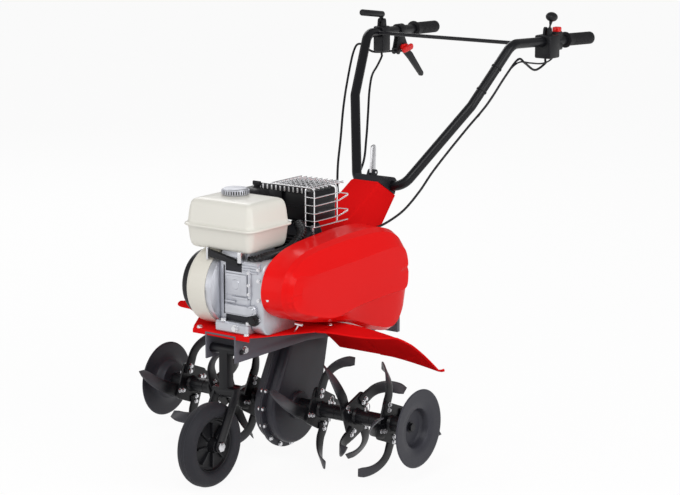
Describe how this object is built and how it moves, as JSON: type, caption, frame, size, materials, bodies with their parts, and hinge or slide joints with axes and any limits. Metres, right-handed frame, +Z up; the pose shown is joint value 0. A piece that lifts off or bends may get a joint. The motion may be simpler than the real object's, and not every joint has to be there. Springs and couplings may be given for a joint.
{
  "type": "tiller",
  "caption": "Petrol walk-behind tiller: engine on a red deck, belt and chain drive to a tine rotor, swing-up front wheel and tilting handlebar with hand controls.",
  "frame": {"origin": "bottom centre of the bounding box, on the ground", "axes": "+Z up, -Y is the driving direction, +X is the machine's left with the belt cover"},
  "size_m": [0.774, 1.4124, 1.036],
  "materials": {
    "red_paint": "gloss red enamel",
    "black_paint": "satin black enamel",
    "grey_paint": "satin grey enamel",
    "white_cover": "gloss off-white enamel",
    "white_tank": "gloss off-white",
    "dark_steel": "dark grey, slightly metallic",
    "aluminium": "as cast",
    "dark_casting": "black heat-proof coating",
    "steel": "machined",
    "zinc": "bright zinc plate",
    "chrome": "bright plate",
    "tyre": "matte",
    "rubber": "matte",
    "black_plastic": "matte",
    "red_plastic": "gloss"
  },
  "bodies": {
    "chassis": {"main_frame": "grey_paint", "deck_plate": "red_paint", "left_fender": "red_paint", "right_fender": "red_paint", "handle_column": "red_paint", "handle_saddle": "dark_casting", "chain_case_left": "dark_steel", "chain_case_right": "dark_steel", "drive_chain": "steel", "drive_belt": "rubber", "belt_cover": "red_paint", "crankcase": "aluminium", "crankcase_cover": "aluminium", "cylinder": "dark_casting", "carburettor": "aluminium", "fan_cover": "white_cover", "recoil_cover": "black_plastic", "fuel_tank": "white_tank", "air_cleaner": "black_plastic", "muffler": "black_paint", "muffler_guard": "chrome"},
    "rotor": {"rotor_shaft": "steel", "left_inner_tines": "black_paint", "left_middle_tines": "black_paint", "left_outer_tines": "black_paint", "right_inner_tines": "black_paint", "right_middle_tines": "black_paint", "right_outer_tines": "black_paint", "left_disc": "dark_steel", "right_disc": "dark_steel"},
    "input": {"input_shaft": "steel", "driven_pulley": "aluminium"},
    "crank": {"crankshaft": "steel", "drive_pulley": "aluminium"},
    "idler": {"idler_arm": "steel"},
    "idler_wheel": {"idler_pulley": "steel"},
    "front_arm": {"wheel_arm": "black_paint", "wheel_axle": "zinc"},
    "front_wheel": {"wheel_hub": "black_plastic", "wheel_tyre": "tyre"},
    "bar": {"handlebar": "black_paint", "left_grip": "rubber", "right_grip": "rubber", "clutch_bracket": "black_plastic", "throttle_box": "black_plastic", "shift_box": "black_plastic", "throttle_cable": "black_plastic", "clutch_cable": "black_plastic", "shift_cable": "black_plastic"},
    "clamp": {"clamp_lever": "zinc"},
    "clutch": {"clutch_lever": "black_plastic"},
    "lock": {"clutch_lock": "red_plastic"},
    "throttle": {"throttle_lever": "black_plastic"},
    "shift": {"shift_lever": "black_plastic"},
    "stop": {"stop_button": "red_plastic"},
    "cap": {"fuel_cap": "aluminium"},
    "oil_cap": {"oil_filler_cap": "black_plastic"},
    "starter": {"recoil_handle": "black_plastic"},
    "spur": {"drag_bar": "black_paint"}
  },
  "joints": [
    {"name": "rotor_spin", "type": "hinge", "parent": "chassis", "child": "rotor", "pos_m": [0, -0.30622, 0.1336], "axis": [1, 0, 0], "continuous": true},
    {"name": "input_spin", "type": "hinge", "parent": "chassis", "child": "input", "pos_m": [0, -0.19122, 0.44], "axis": [1, 0, 0], "continuous": true},
    {"name": "crank_spin", "type": "hinge", "parent": "chassis", "child": "crank", "pos_m": [0, -0.48422, 0.455], "axis": [1, 0, 0], "continuous": true},
    {"name": "idler_swing", "type": "hinge", "parent": "chassis", "child": "idler", "pos_m": [0.1595, -0.24422, 0.53], "axis": [1, 0, 0], "range_deg": [0, 9], "deforming": ["drive_belt"]},
    {"name": "idler_spin", "type": "hinge", "parent": "idler", "child": "idler_wheel", "pos_m": [0.15, -0.33622, 0.5347], "axis": [1, 0, 0], "continuous": true},
    {"name": "front_arm_swing", "type": "hinge", "parent": "chassis", "child": "front_arm", "pos_m": [0, -0.54122, 0.315], "axis": [1, 0, 0], "range_deg": [-95, 0]},
    {"name": "front_wheel_spin", "type": "hinge", "parent": "front_arm", "child": "front_wheel", "pos_m": [0, -0.60622, 0.1], "axis": [1, 0, 0], "continuous": true},
    {"name": "handlebar_tilt", "type": "hinge", "parent": "chassis", "child": "bar", "pos_m": [0, 0.08178, 0.618], "axis": [1, 0, 0], "range_deg": [-25, 20], "deforming": ["throttle_cable", "clutch_cable", "shift_cable"]},
    {"name": "clamp_flip", "type": "hinge", "parent": "chassis", "child": "clamp", "pos_m": [0, 0.05128, 0.653], "axis": [1, 0, 0], "range_deg": [0, 60]},
    {"name": "clutch_squeeze", "type": "hinge", "parent": "bar", "child": "clutch", "pos_m": [-0.2347, 0.53178, 0.905], "axis": [1, 0, 0], "range_deg": [0, 32], "stiffness_Nm_per_rad": 4, "springref_deg": -8.59},
    {"name": "lock_flip", "type": "hinge", "parent": "bar", "child": "lock", "pos_m": [-0.2254, 0.50878, 0.912], "axis": [1, 0, 0], "range_deg": [-25, 0]},
    {"name": "throttle_swing", "type": "hinge", "parent": "bar", "child": "throttle", "pos_m": [0.23437, 0.50378, 0.98785], "axis": [1, 0, 0], "range_deg": [-25, 25]},
    {"name": "shift_swing", "type": "hinge", "parent": "bar", "child": "shift", "pos_m": [-0.22872, 0.41778, 0.99092], "axis": [1, 0, 0], "range_deg": [-15, 15]},
    {"name": "stop_press", "type": "slide", "parent": "bar", "child": "stop", "axis": [0, 0, -1], "range_m": [0, 0.004], "stiffness_N_per_m": 400, "springref_m": -0.002},
    {"name": "fuel_cap_twist", "type": "hinge", "parent": "chassis", "child": "cap", "pos_m": [-0.037, -0.45422, 0.6663], "axis": [0, 0, 1], "range_deg": [0, 90]},
    {"name": "oil_cap_twist", "type": "hinge", "parent": "chassis", "child": "oil_cap", "pos_m": [0.09, -0.54452, 0.398], "axis": [0, -1, 0], "range_deg": [0, 90]},
    {"name": "starter_pull", "type": "slide", "parent": "chassis", "child": "starter", "axis": [0, 1, 0], "range_m": [0, 0.08], "stiffness_N_per_m": 60, "springref_m": -0.05},
    {"name": "spur_slide", "type": "slide", "parent": "chassis", "child": "spur", "axis": [0, 0, -1], "range_m": [0, 0.13]}
  ],
  "couplings": [
    {"joint": "input_spin", "follows": "rotor_spin", "ratio": 3.5},
    {"joint": "idler_swing", "follows": "clutch_squeeze", "ratio": 0.25}
  ]
}
